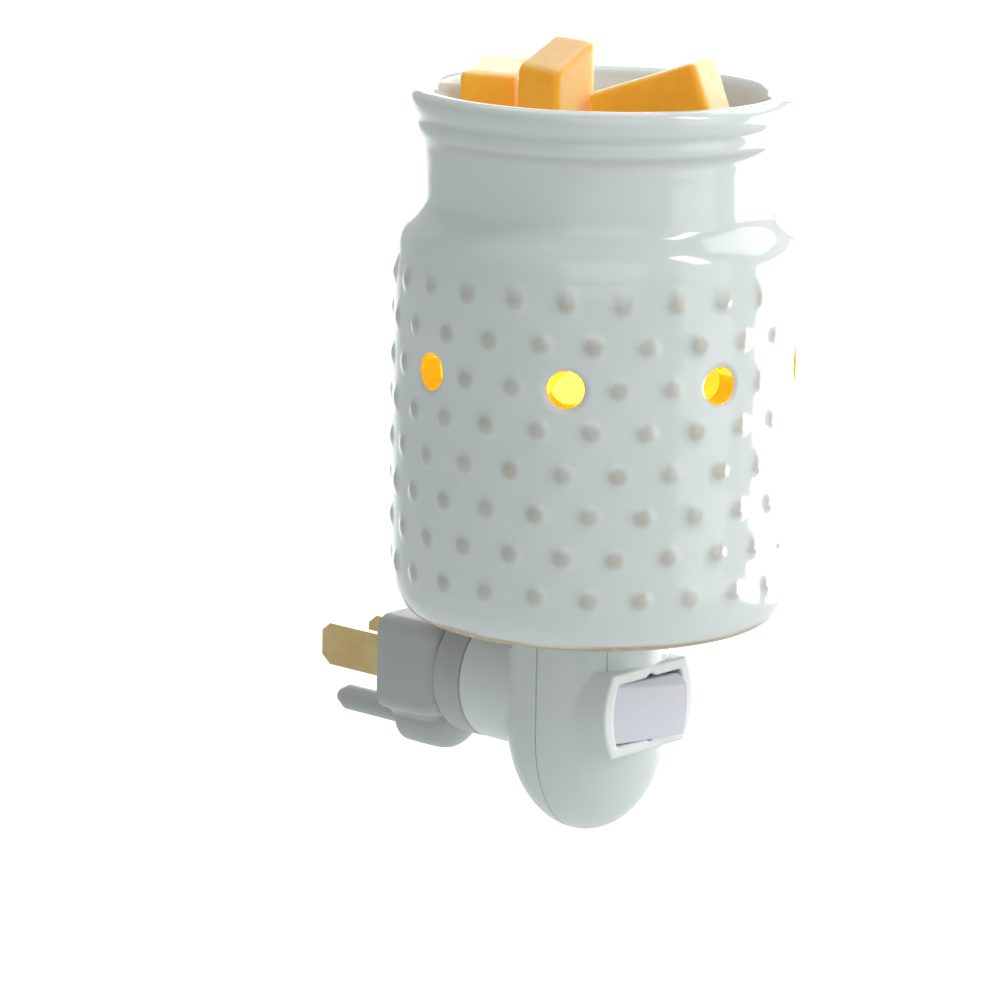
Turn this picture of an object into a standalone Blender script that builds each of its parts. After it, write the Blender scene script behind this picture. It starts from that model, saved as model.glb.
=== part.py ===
"""Plug-in wax warmer: a ceramic jar with a melting dish, on a lamp base with a swivel plug.

Frame: metres, +Z up. The origin is the middle of the plug's rear face, between the two blades.
+Y goes into the wall, -Y is the front, where the switch is. The jar and the lamp base share one
upright axis at y = AXIS_Y. Lengths below are written in millimetres times MM.
"""
import math

import bmesh
import bpy
from mathutils import Matrix, Vector

MM = 0.001
GAP = 0.3 * MM
AXIS_Y = -41.8 * MM

# Plug
PLUG_HALF_W = 11.0 * MM
PLUG_HALF_H = 9.0 * MM
PLUG_CORNER = 3.0 * MM
PLUG_DEPTH = 14.5 * MM
PLUG_WALL = 1.8 * MM
LOBE_R = 6.0 * MM
LOBE_Z = -10.8 * MM
COVER_THICK = 2.0 * MM
BLADE_X = 6.35 * MM
BLADE_THICK = 1.5 * MM
BLADE_OUT = 17.5 * MM
BLADE_WIDE = 7.9 * MM
BLADE_NARROW = 6.35 * MM
TAIL_THICK = 0.9 * MM
TAIL_WIDTH = 2.6 * MM
PIN_Z = -11.9 * MM
PIN_R = 2.38 * MM
PIN_OUT = 19.0 * MM

# Swivel
COLLAR_R = 12.0 * MM
COLLAR_BACK = -14.8 * MM
COLLAR_FRONT = -21.0 * MM
SPIGOT_R = 8.4 * MM
SPIGOT_FRONT = -27.5 * MM
RING_THICK = 0.8 * MM
OUTER_RING = (5.5 * MM, 7.6 * MM)
INNER_RING = (1.9 * MM, 4.0 * MM)

# Lamp base
HOUSING_R = 14.4 * MM
HOUSING_WALL = 1.8 * MM
HOUSING_TOP = 15.0 * MM
HOUSING_ROUND_Z = -5.0 * MM
HOUSING_BOTTOM = -25.0 * MM
NECK_R = 12.0 * MM
NECK_BACK = -21.3 * MM
NECK_BORE = 8.8 * MM
NECK_WIDE_BORE = 10.4 * MM
NECK_LEDGE = -24.5 * MM
BOSS_HALF_W = 12.35 * MM
BOSS_HALF_H = 7.7 * MM
BOSS_BOW = 1.9 * MM
BOSS_CORNER = 0.7 * MM
BOSS_FRONT = -56.2 * MM
BOSS_BACK = -46.0 * MM
WINDOW_HALF_W = 9.8 * MM
WINDOW_HALF_H = 5.7 * MM
WINDOW_BOW = 0.5 * MM
ROCKER_HALF_W = 9.0 * MM
ROCKER_HALF_H = 5.5 * MM
ROCKER_Y = -53.6 * MM
ROCKER_TILT = math.radians(11.0)
SEESAW_Y = -49.0 * MM
SEESAW_RATIO = 0.4
SCREW_PLACES = ((-10.2 * MM, 10.4 * MM), (10.2 * MM, 10.4 * MM), (0.0, -18.0 * MM))
POST_R = 2.0 * MM

# Lamp
SOCKET_R = 7.9 * MM
SOCKET_FLOOR = 7.6 * MM
SHELL_R = 6.9 * MM
BULB_R = 9.5 * MM
BULB_TOP = 60.0 * MM

# Jar
JAR_FOOT = 15.4 * MM
JAR_RIM = 109.6 * MM
JAR_R = 35.0 * MM
JAR_SPLIT = 84.5 * MM
BUMP_ROWS = 8
BUMP_ROW_PITCH = 7.37 * MM
BUMP_LOWEST = 25.6 * MM
BUMP_PROUD = 0.9 * MM
JAR_STEPS = 48
BUMP_PHASE = math.radians(-12.9)
HOLE_ROW = 3
HOLE_R = 3.2 * MM
HOLE_PAIRS = 4

COLOURS = {
    "glaze": ((0.80, 0.83, 0.82), 0.15, 0.0),
    "white_plastic": ((0.82, 0.85, 0.84), 0.35, 0.0),
    "grey_plastic": ((0.52, 0.54, 0.57), 0.4, 0.0),
    "rocker_plastic": ((0.78, 0.78, 0.83), 0.3, 0.0),
    "black_plastic": ((0.05, 0.05, 0.05), 0.45, 0.0),
    "insulator": ((0.72, 0.70, 0.64), 0.5, 0.0),
    "brass": ((0.80, 0.60, 0.28), 0.3, 1.0),
    "steel": ((0.62, 0.62, 0.60), 0.35, 1.0),
    "glass": ((0.93, 0.93, 0.90), 0.05, 0.0),
    "wire": ((0.85, 0.83, 0.78), 0.5, 0.0),
    "wax": ((0.90, 0.50, 0.06), 0.35, 0.0),
}


# ---------------------------------------------------------------- helpers

def clear_scene():
    for thing in list(bpy.data.objects):
        bpy.data.objects.remove(thing, do_unlink=True)


def material(name):
    made = bpy.data.materials.get(name)
    if made:
        return made
    colour, roughness, metallic = COLOURS[name]
    made = bpy.data.materials.new(name)
    made.use_nodes = True
    shader = made.node_tree.nodes["Principled BSDF"]
    shader.inputs["Base Color"].default_value = (*colour, 1.0)
    shader.inputs["Roughness"].default_value = roughness
    shader.inputs["Metallic"].default_value = metallic
    return made


def make_object(name, shape, finish, centre=(0, 0, 0), turn=(0, 0, 0)):
    bmesh.ops.recalc_face_normals(shape, faces=shape.faces)
    mesh = bpy.data.meshes.new(name)
    shape.to_mesh(mesh)
    shape.free()
    mesh.shade_smooth()
    mesh.set_sharp_from_angle(angle=math.radians(35))
    thing = bpy.data.objects.new(name, mesh)
    bpy.context.collection.objects.link(thing)
    if finish:
        mesh.materials.append(material(finish))
    thing.location = centre
    thing.rotation_euler = turn
    return thing


def loft(name, rings, finish, centre=(0, 0, 0), turn=(0, 0, 0)):
    """Skin a run of closed rings of equal length. A ring of one point closes the end as a pole."""
    shape = bmesh.new()
    rows = [[shape.verts.new(point) for point in ring] for ring in rings]
    for low, high in zip(rows, rows[1:]):
        skin_between(shape, low, high)
    for end in (rows[0], rows[-1]):
        if len(end) > 1:
            shape.faces.new(end)
    return make_object(name, shape, finish, centre, turn)


def skin_between(shape, low, high):
    count = max(len(low), len(high))
    for i in range(count):
        j = (i + 1) % count
        if len(low) == 1:
            shape.faces.new((low[0], high[i], high[j]))
        elif len(high) == 1:
            shape.faces.new((low[i], low[j], high[0]))
        else:
            shape.faces.new((low[i], low[j], high[j], high[i]))


def circle(radius, height, steps):
    if radius == 0:
        return [(0, 0, height)]
    angles = [2 * math.pi * (i + 0.5) / steps for i in range(steps)]
    return [(radius * math.cos(a), radius * math.sin(a), height) for a in angles]


def turned(name, outline, finish, steps=32, centre=(0, 0, 0), turn=(0, 0, 0)):
    """Turn an outline of (radius, height) pairs, which starts and ends on the axis."""
    rings = [circle(radius, height, steps) for radius, height in outline]
    return loft(name, rings, finish, centre, turn)


def closed_loft(name, rings, finish, centre=(0, 0, 0), turn=(0, 0, 0)):
    """Skin a run of rings whose last ring joins the first, as on a tube."""
    shape = bmesh.new()
    rows = [[shape.verts.new(point) for point in ring] for ring in rings]
    for low, high in zip(rows, rows[1:] + rows[:1]):
        skin_between(shape, low, high)
    return make_object(name, shape, finish, centre, turn)


def tube(name, outline, finish, steps=32, centre=(0, 0, 0), turn=(0, 0, 0)):
    """Turn a closed outline that stays off the axis."""
    rings = [circle(radius, height, steps) for radius, height in outline]
    return closed_loft(name, rings, finish, centre, turn)


def plain_tube(name, inner, outer, low, high, finish, steps=32, centre=(0, 0, 0), turn=(0, 0, 0)):
    outline = ((inner, low), (outer, low), (outer, high), (inner, high))
    return tube(name, outline, finish, steps, centre, turn)


def rod(name, radius, low, high, finish, steps=16, centre=(0, 0, 0), turn=(0, 0, 0)):
    outline = ((0, low), (radius, low), (radius, high), (0, high))
    return turned(name, outline, finish, steps, centre, turn)


def box(name, low, high, finish=None):
    corners = [(low[0], low[1]), (high[0], low[1]), (high[0], high[1]), (low[0], high[1])]
    rings = [[(x, y, z) for x, y in corners] for z in (low[2], high[2])]
    return loft(name, rings, finish)


def strip(name, path, thickness, width, finish, centre=(0, 0, 0), turn=(0, 0, 0)):
    """A bent strip: a path in the local XY plane, as thick as said there, and wide along Z."""
    left, right = [], []
    points = [Vector(point) for point in path]
    for i, point in enumerate(points):
        before = points[max(i - 1, 0)]
        after = points[min(i + 1, len(points) - 1)]
        run = (after - before).normalized()
        side = Vector((-run.y, run.x)) * (thickness / 2)
        left.append(point + side)
        right.append(point - side)
    outline = left + right[::-1]
    rings = [[(p.x, p.y, z) for p in outline] for z in (-width / 2, width / 2)]
    return loft(name, rings, finish, centre, turn)


def boolean(target, tool, operation):
    change = target.modifiers.new(f"{operation.lower()} {tool.name}", "BOOLEAN")
    change.operation = operation
    change.object = tool
    change.solver = "EXACT"
    tool.hide_render = True
    tool.display_type = "WIRE"
    return target


def cut(target, *tools):
    for tool in tools:
        boolean(target, tool, "DIFFERENCE")
    return target


def add(target, *tools):
    for tool in tools:
        boolean(target, tool, "UNION")
    return target


def joint_point(name, place, pieces):
    """An empty on the joint's axis, with the moving pieces as its children."""
    empty = bpy.data.objects.new(name, None)
    bpy.context.collection.objects.link(empty)
    empty.empty_display_size = 5 * MM
    empty.location = place
    for piece in pieces:
        piece.parent = empty
        piece.matrix_parent_inverse = Matrix.Translation(-Vector(place))
    return empty


ALONG_Y = (-math.pi / 2, 0, 0)
AXIS = Vector((0, AXIS_Y, 0))


# ---------------------------------------------------------------- plug

def plug_ring(y, inset, lobe_z):
    """The plug's outline at one depth: a rounded block with a round lobe under it."""
    half_w = PLUG_HALF_W - inset
    half_h = PLUG_HALF_H - inset
    corner = PLUG_CORNER - inset / 2
    lobe = LOBE_R - inset
    points = []
    for sx, sz, start in ((1, 1, 0), (-1, 1, 90), (-1, -1, 180)):
        points += corner_arc(sx * (half_w - corner), sz * (half_h - corner), corner, start, 5)
    rise = math.asin(max(0.0, (lobe_z + half_h) / lobe))
    for i in range(13):
        angle = math.pi + rise + (math.pi - 2 * rise) * i / 12
        points.append((lobe * math.cos(angle), lobe_z + lobe * math.sin(angle)))
    points += corner_arc(half_w - corner, corner - half_h, corner, 270, 5)
    return [(x, y, z) for x, z in points]


def corner_arc(cx, cz, radius, start, steps):
    angles = [math.radians(start + 90 * i / (steps - 1)) for i in range(steps)]
    return [(cx + radius * math.cos(a), cz + radius * math.sin(a)) for a in angles]


def make_plug_body():
    outside = (
        (-PLUG_DEPTH, 2.0 * MM, -5.2 * MM),
        (-13.8 * MM, 1.2 * MM, -6.6 * MM),
        (-12.3 * MM, 0.7 * MM, -8.4 * MM),
        (-10.0 * MM, 0.2 * MM, -10.3 * MM),
        (-7.0 * MM, 0.0, LOBE_Z),
        (0.0, 0.0, LOBE_Z),
    )
    inside = ((0.0, PLUG_WALL, LOBE_Z), (-7.0 * MM, PLUG_WALL, LOBE_Z), (-12.0 * MM, 2.6 * MM, -8.0 * MM))
    rings = [plug_ring(y, inset, lobe_z) for y, inset, lobe_z in outside + inside]
    body = loft("plug_body", rings, "grey_plastic")
    bore = rod("plug_body_bore", 7.9 * MM, -16 * MM, -11 * MM, None, 32, turn=ALONG_Y)
    return cut(body, bore)


def make_plug_rear_cover():
    inset = PLUG_WALL + GAP
    cover = loft(
        "plug_rear_cover",
        [plug_ring(y, inset, LOBE_Z) for y in (-COVER_THICK, 0.0)],
        "grey_plastic",
    )
    for x, width in ((-BLADE_X, BLADE_WIDE), (BLADE_X, BLADE_NARROW)):
        half_x = BLADE_THICK / 2 + GAP
        half_z = width / 2 + GAP
        low = (x - half_x, -5 * MM, -half_z)
        high = (x + half_x, 5 * MM, half_z)
        cut(cover, box(f"blade_slot_{'left' if x < 0 else 'right'}", low, high))
    outline = ((0, -1 * MM), (PIN_R, -1 * MM), (PIN_R, PIN_OUT - 2 * MM), (1.3 * MM, PIN_OUT), (0, PIN_OUT))
    pin = turned("pin_shape", outline, None, 24, (0, 0, PIN_Z), ALONG_Y)
    return add(cover, pin)


def make_blade(name, x, width, tail_x):
    """A flat blade with a pointed end, and behind it a narrow tail that reaches the slip ring."""
    half = width / 2
    heel = -3.6 * MM
    shoulder = BLADE_OUT - 2 * MM
    side = ((heel, -half), (shoulder, -half), (BLADE_OUT, 1.6 * MM - half), (BLADE_OUT, half - 1.6 * MM),
            (shoulder, half), (heel, half))
    near = x - BLADE_THICK / 2
    far = x + BLADE_THICK / 2
    blade = loft(name, [[(px, y, z) for y, z in side] for px in (near, far)], "brass")
    path = ((x, -2.5 * MM), (x, -5.5 * MM), (tail_x, -9.0 * MM), (tail_x, SPIGOT_FRONT))
    tail = strip(f"{name}_tail", path, TAIL_THICK, TAIL_WIDTH, None)
    return add(blade, tail)


def make_swivel_collar():
    rear = 7.6 * MM
    groove = 7.7 * MM
    outline = (
        (0, -11.5 * MM), (rear, -11.5 * MM), (rear, COLLAR_BACK), (COLLAR_R - 0.7 * MM, COLLAR_BACK),
        (COLLAR_R, COLLAR_BACK - 0.7 * MM), (COLLAR_R, COLLAR_FRONT + 0.5 * MM),
        (COLLAR_R - 0.5 * MM, COLLAR_FRONT), (SPIGOT_R, COLLAR_FRONT), (SPIGOT_R, -24.9 * MM),
        (groove, -24.9 * MM), (groove, -26.3 * MM), (SPIGOT_R, -26.3 * MM), (SPIGOT_R, SPIGOT_FRONT),
        (0, SPIGOT_FRONT),
    )
    collar = turned("swivel_collar", outline, "grey_plastic", 36, turn=ALONG_Y)
    for side, x in (("line", BLADE_X), ("neutral", -2.95 * MM)):
        half_x = TAIL_THICK / 2 + GAP
        half_z = TAIL_WIDTH / 2 + GAP
        low = (x - half_x, -30 * MM, -half_z)
        high = (x + half_x, -10 * MM, half_z)
        cut(collar, box(f"tail_slot_{side}", low, high))
    return collar


def make_swivel_retainer():
    radii = (8.0 * MM, 10.0 * MM)
    ring = plain_tube("swivel_retainer", *radii, -26.0 * MM, -25.2 * MM, "steel", 24, turn=ALONG_Y)
    return cut(ring, box("retainer_split", (-1.5 * MM, -30 * MM, 0), (1.5 * MM, -20 * MM, 12 * MM)))


def make_slip_ring(name, radii):
    back = SPIGOT_FRONT - GAP
    return plain_tube(name, radii[0], radii[1], back - RING_THICK, back, "brass", 24, turn=ALONG_Y)


def make_plug():
    make_plug_rear_cover()
    make_plug_body()
    make_blade("blade_line", BLADE_X, BLADE_NARROW, BLADE_X)
    make_blade("blade_neutral", -BLADE_X, BLADE_WIDE, -2.95 * MM)
    make_swivel_collar()
    make_swivel_retainer()
    make_slip_ring("slip_ring_outer", OUTER_RING)
    make_slip_ring("slip_ring_inner", INNER_RING)


# ---------------------------------------------------------------- lamp base

def housing_outline(radius, bottom, top):
    """Half of the housing's upright section, from the bottom pole to the top."""
    points = []
    drop = HOUSING_ROUND_Z - bottom
    for i in range(8):
        angle = math.pi / 2 * i / 7
        points.append((radius * math.sin(angle), HOUSING_ROUND_Z - drop * math.cos(angle)))
    points[0] = (0, bottom)
    return points + [(radius, top), (0, top)]


def housing_solid(name, finish):
    return turned(name, housing_outline(HOUSING_R, HOUSING_BOTTOM, HOUSING_TOP), finish, 40, AXIS)


def housing_cavity():
    """The hollow inside both halves. The screw posts are left standing in it."""
    outline = housing_outline(HOUSING_R - HOUSING_WALL, HOUSING_BOTTOM + HOUSING_WALL, HOUSING_TOP + 5 * MM)
    hollow = turned("housing_hollow", outline, None, 32, AXIS)
    for i, (x, z) in enumerate(SCREW_PLACES):
        post = rod(f"screw_post_{i + 1}", POST_R, -16 * MM, 16 * MM, None, 20, (x, AXIS_Y, z), ALONG_Y)
        cut(hollow, post)
    return hollow


def bowed_box(half_w, half_h, bow, corner, y):
    """A box outline at one depth. Its ends bow out by that much, and its corners are cut off."""
    shoulder = half_w - bow - corner
    right = [(shoulder, -half_h)]
    for i in range(9):
        t = i / 4 - 1
        right.append((half_w - bow * t * t, t * (half_h - corner)))
    right.append((shoulder, half_h))
    left = [(-x, -z) for x, z in right]
    return [(x, y, z) for x, z in right + left]


def make_housing_rear(hollow):
    rear = housing_solid("housing_rear", "white_plastic")
    neck = rod("neck_shape", NECK_R, -34 * MM, NECK_BACK, None, 36, turn=ALONG_Y)
    add(rear, neck)
    cut(rear, hollow)
    outline = ((0, -40 * MM), (NECK_WIDE_BORE, -40 * MM), (NECK_WIDE_BORE, NECK_LEDGE),
               (NECK_BORE, NECK_LEDGE), (NECK_BORE, -20 * MM), (0, -20 * MM))
    cut(rear, turned("neck_bore", outline, None, 32, turn=ALONG_Y))
    far = 40 * MM
    cut(rear, box("front_space", (-far, -2 * far, -far), (far, AXIS_Y + GAP / 2, far)))
    for i, (x, z) in enumerate(SCREW_PLACES):
        outline = ((0, -5 * MM), (1.1 * MM, -5 * MM), (1.1 * MM, 6.6 * MM), (1.8 * MM, 6.6 * MM),
                   (1.8 * MM, 20 * MM), (0, 20 * MM))
        cut(rear, turned(f"screw_hole_{i + 1}", outline, None, 20, (x, AXIS_Y, z), ALONG_Y))
    return rear


def make_housing_front(hollow):
    front = housing_solid("housing_front", "white_plastic")
    steps = ((BOSS_FRONT, 0.3 * MM), (BOSS_FRONT + 0.3 * MM, 0), (BOSS_BACK, 0))
    rings = [bowed_box(BOSS_HALF_W - cut_in, BOSS_HALF_H - cut_in, BOSS_BOW, BOSS_CORNER, y)
             for y, cut_in in steps]
    add(front, loft("boss_shape", rings, None))
    cut(front, hollow)
    cut(front, boss_opening())
    far = 40 * MM
    cut(front, box("rear_space", (-far, AXIS_Y - GAP / 2, -far), (far, far, far)))
    for i, (x, z) in enumerate(SCREW_PLACES):
        place = (x, AXIS_Y, z)
        cut(front, rod(f"pilot_hole_{i + 1}", 1.05 * MM, -6 * MM, 5 * MM, None, 20, place, ALONG_Y))
    return front


def boss_opening():
    """The switch's window through the front of the housing."""
    rings = [bowed_box(WINDOW_HALF_W, WINDOW_HALF_H, WINDOW_BOW, 0.2 * MM, y) for y in (-60 * MM, -46 * MM)]
    return loft("switch_window", rings, None)


def make_housing_screws():
    """Pan head screws from the rear, each in its own post."""
    outline = ((0, -4.5 * MM), (0.75 * MM, -4 * MM), (0.75 * MM, 6.9 * MM), (1.5 * MM, 6.9 * MM),
               (1.5 * MM, 7.6 * MM), (1.1 * MM, 8.0 * MM), (0, 8.0 * MM))
    for i, (x, z) in enumerate(SCREW_PLACES):
        turned(f"housing_screw_{i + 1}", outline, "steel", 16, (x, AXIS_Y, z), ALONG_Y)


def make_contact_carrier():
    """The insulating disc that holds the two spring fingers behind the slip rings."""
    disc = rod("contact_carrier", 10.1 * MM, -32.4 * MM, -30.6 * MM, "insulator", 32, turn=ALONG_Y)
    for side, x in (("line", -6.55 * MM), ("neutral", 2.95 * MM)):
        low = (x - 0.6 * MM, -35 * MM, -1.7 * MM)
        high = (x + 0.6 * MM, -28 * MM, 1.7 * MM)
        cut(disc, box(f"finger_slot_{side}", low, high))
    return disc


def make_contact_finger(name, x, spread):
    tip = SPIGOT_FRONT - GAP - RING_THICK - GAP
    path = ((x - 0.9 * MM, tip - 0.3 * MM), (x, tip - 1.2 * MM), (x, -33.2 * MM), (x + spread, -35.5 * MM))
    return strip(name, path, 0.5 * MM, 2.6 * MM, "brass")


def make_socket_insulator():
    floor = SOCKET_FLOOR
    flange = 14.2 * MM
    bore = 7.3 * MM
    outline = (
        (0, floor), (SOCKET_R, floor), (SOCKET_R, 15.3 * MM), (flange, 15.3 * MM), (flange, 16.5 * MM),
        (SOCKET_R, 16.5 * MM), (SOCKET_R, 22.6 * MM), (bore, 22.6 * MM), (bore, 9.2 * MM), (0, 9.2 * MM),
    )
    holder = turned("socket_insulator", outline, "insulator", 24, AXIS)
    for side, x, half_x in (("centre", -3.0 * MM, 0.6 * MM), ("shell", 6.6 * MM, 0.65 * MM)):
        low = (x - half_x, AXIS_Y - 1.8 * MM, 5 * MM)
        high = (x + half_x, AXIS_Y + 1.8 * MM, 9.6 * MM)
        cut(holder, box(f"tab_slot_{side}", low, high))
    return holder


def make_socket_screw_shell():
    """The threaded sleeve, as parallel ridges, with a tab that goes down through the floor."""
    pitch = 2.54 * MM
    low = 10.2 * MM
    outer, inner = [], []
    for i in range(7):
        z = low + i * pitch / 2
        radius = SHELL_R - (0.35 * MM if i % 2 else 0)
        outer.append((radius, z))
        inner.append((radius - 0.4 * MM, z))
    shell = tube("socket_screw_shell", outer + inner[::-1], "brass", 20, AXIS)
    half = 1.3 * MM
    tab = box("shell_tab", (6.35 * MM, AXIS_Y - half, 6.0 * MM), (6.88 * MM, AXIS_Y + half, 10.4 * MM))
    return add(shell, tab)


def make_socket_centre_contact():
    path = ((-3.0 * MM, 6.0 * MM), (-3.0 * MM, 9.8 * MM), (-1.5 * MM, 10.2 * MM), (1.6 * MM, 11.0 * MM))
    return strip("socket_centre_contact", path, 0.4 * MM, 2.6 * MM, "brass", AXIS, (math.pi / 2, 0, 0))


def make_jar_seat():
    """The flange the jar stands on, with an upright collar that centres the jar's bottom hole."""
    outline = (
        (9.0 * MM, 16.8 * MM), (24.5 * MM, 16.8 * MM), (24.5 * MM, 18.4 * MM), (17.2 * MM, 18.4 * MM),
        (17.2 * MM, 26.0 * MM), (15.8 * MM, 26.0 * MM), (15.8 * MM, 18.4 * MM), (9.0 * MM, 18.4 * MM),
    )
    return tube("jar_seat", outline, "white_plastic", 36, AXIS)


def make_jar_clips():
    """Three sprung clips hooked over the collar. They grip the edge of the jar's bottom hole."""
    path = ((15.2 * MM, 24.2 * MM), (15.3 * MM, 26.6 * MM), (17.7 * MM, 26.6 * MM), (18.2 * MM, 23.6 * MM),
            (18.45 * MM, 21.6 * MM), (17.8 * MM, 19.0 * MM))
    for i in range(3):
        spin = math.radians(90 + 120 * i)
        strip(f"jar_clip_{i + 1}", path, 0.4 * MM, 6 * MM, "steel", AXIS, (math.pi / 2, 0, spin))


def make_wire(name, points):
    """A round insulated wire through the points."""
    curve = bpy.data.curves.new(name, "CURVE")
    curve.dimensions = "3D"
    curve.bevel_depth = 0.65 * MM
    curve.bevel_resolution = 1
    curve.use_fill_caps = True
    spline = curve.splines.new("POLY")
    smooth = smooth_points(points, 4)
    spline.points.add(len(smooth) - 1)
    for point, place in zip(spline.points, smooth):
        point.co = (*place, 1)
    curve.materials.append(material("wire"))
    wire = bpy.data.objects.new(name, curve)
    bpy.context.collection.objects.link(wire)
    return wire


def smooth_points(points, steps):
    """Points on a curve that passes evenly through the given ones."""
    p = [Vector(point) for point in points]
    p = [2 * p[0] - p[1]] + p + [2 * p[-1] - p[-2]]
    found = []
    for a, b, c, d in zip(p, p[1:], p[2:], p[3:]):
        for i in range(steps):
            t = i / steps
            found.append(0.5 * (2 * b + (c - a) * t + (2 * a - 5 * b + 4 * c - d) * t * t
                                + (3 * b - a - 3 * c + d) * t ** 3))
    return found + [p[-2]]


def make_wires():
    make_wire("wire_line", [(x * MM, y * MM, z * MM) for x, y, z in (
        (-8.6, -36.6, 0), (-9.2, -39, -1.5), (-8.4, -42, -2.5), (-6.2, -43.4, -1.5), (-5.0, -44.4, 0))])
    make_wire("wire_switched", [(x * MM, y * MM, z * MM) for x, y, z in (
        (5.0, -44.4, 0), (4.6, -42.6, 1.6), (1.6, -41.6, 2.6), (-1.6, -41.6, 3.4), (-3.0, -41.8, 5.0))])
    make_wire("wire_neutral", [(x * MM, y * MM, z * MM) for x, y, z in (
        (5.6, -36.6, 0), (7.2, -38.2, 0.6), (7.6, -40.4, 2.2), (6.8, -41.8, 4.0), (6.6, -41.8, 5.0))])


def make_switch_body():
    """An open tray that carries the rocker's pins and the two terminals."""
    half_w = ROCKER_HALF_W
    half_h = ROCKER_HALF_H
    back = -46.4 * MM
    front = -52.0 * MM
    tray = box("switch_body", (-half_w, front, -half_h), (half_w, back, half_h), "black_plastic")
    wall = 1.0 * MM
    low = (wall - half_w, -60 * MM, wall - half_h)
    high = (half_w - wall, back - wall, half_h - wall)
    cut(tray, box("tray_hollow", low, high))
    for side, x in (("left", -5 * MM), ("right", 5 * MM)):
        low = (x - 1.5 * MM, -48 * MM, -0.6 * MM)
        high = (x + 1.5 * MM, -45 * MM, 0.6 * MM)
        cut(tray, box(f"terminal_slot_{side}", low, high))
    return tray


def make_switch_terminal(number, x):
    """A flat terminal through the tray's back, with its contact pad inside."""
    name = f"switch_terminal_{number}"
    half_w = 1.2 * MM
    pad = box(name, (x - half_w, -48.0 * MM, -1.5 * MM), (x + half_w, -47.7 * MM, 1.5 * MM), "brass")
    tab = box(f"{name}_tab", (x - half_w, -47.9 * MM, -0.3 * MM), (x + half_w, -45.3 * MM, 0.3 * MM))
    return add(pad, tab)


def make_lamp_base():
    hollow = housing_cavity()
    make_housing_rear(hollow)
    make_housing_front(hollow)
    make_housing_screws()
    make_contact_carrier()
    make_contact_finger("contact_finger_line", -6.55 * MM, -1.6 * MM)
    make_contact_finger("contact_finger_neutral", 2.95 * MM, 2.4 * MM)
    make_socket_insulator()
    make_socket_screw_shell()
    make_socket_centre_contact()
    make_jar_seat()
    make_jar_clips()
    make_wires()
    make_switch_body()
    make_switch_terminal(1, -5 * MM)
    make_switch_terminal(2, 5 * MM)


# ---------------------------------------------------------------- switch

def make_rocker(pivot):
    half_w = ROCKER_HALF_W - 0.3 * MM
    half_h = ROCKER_HALF_H - 0.2 * MM
    plan = ((-half_w, -3.1 * MM), (-half_w / 2, -3.3 * MM), (half_w / 2, -3.3 * MM), (half_w, -3.1 * MM),
            (half_w - 0.4 * MM, -0.6 * MM), (2.4 * MM, 0.9 * MM), (-2.4 * MM, 0.9 * MM),
            (0.4 * MM - half_w, -0.6 * MM))
    rings = [[(x, y, z) for x, y in plan] for z in (-half_h, half_h)]
    return loft("rocker", rings, "rocker_plastic", pivot, (0, 0, -ROCKER_TILT))


def make_switch():
    """The rocker, at rest with its left end in, its sprung plunger, and the contact bar behind them."""
    pivot = (0, ROCKER_Y, 0)
    rocker = make_rocker(pivot)
    lean = (-math.pi / 2, 0, -ROCKER_TILT)
    spring = plain_tube("rocker_spring", 0.55 * MM, 0.95 * MM, 1.2 * MM, 2.6 * MM, "steel", 12, pivot, lean)
    nose = ((0, 2.9 * MM), (0.9 * MM, 2.9 * MM), (0.9 * MM, 3.5 * MM), (0, 3.9 * MM))
    plunger = turned("rocker_plunger", nose, "insulator", 12, pivot, lean)
    joint_point("rocker_pivot", pivot, (rocker, spring, plunger))
    bar_pivot = (0, SEESAW_Y, 0)
    path = ((-6.4 * MM, 0), (0, 0), (6.4 * MM, 0))
    turn = (0, 0, ROCKER_TILT * SEESAW_RATIO)
    bar = strip("contact_seesaw", path, 0.5 * MM, 3 * MM, "brass", bar_pivot, turn)
    joint_point("seesaw_pivot", bar_pivot, (bar,))


# ---------------------------------------------------------------- bulb

def bulb_envelope(inset):
    """The bulb's outline from its open neck to its round top."""
    radius = BULB_R - inset
    widest = 46 * MM
    points = [(4.9 * MM - inset, 19.5 * MM), (4.9 * MM - inset, 23.5 * MM)]
    for i in range(1, 6):
        t = i / 6
        blend = t * t * (3 - 2 * t)
        points.append((4.9 * MM - inset + (BULB_R - 4.9 * MM) * blend, 23.5 * MM + (widest - 23.5 * MM) * t))
    height = BULB_TOP - inset - widest
    for i in range(8):
        angle = math.pi / 2 * i / 7
        points.append((radius * math.cos(angle), widest + height * math.sin(angle)))
    points[-1] = (0, BULB_TOP - inset)
    return points


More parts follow.
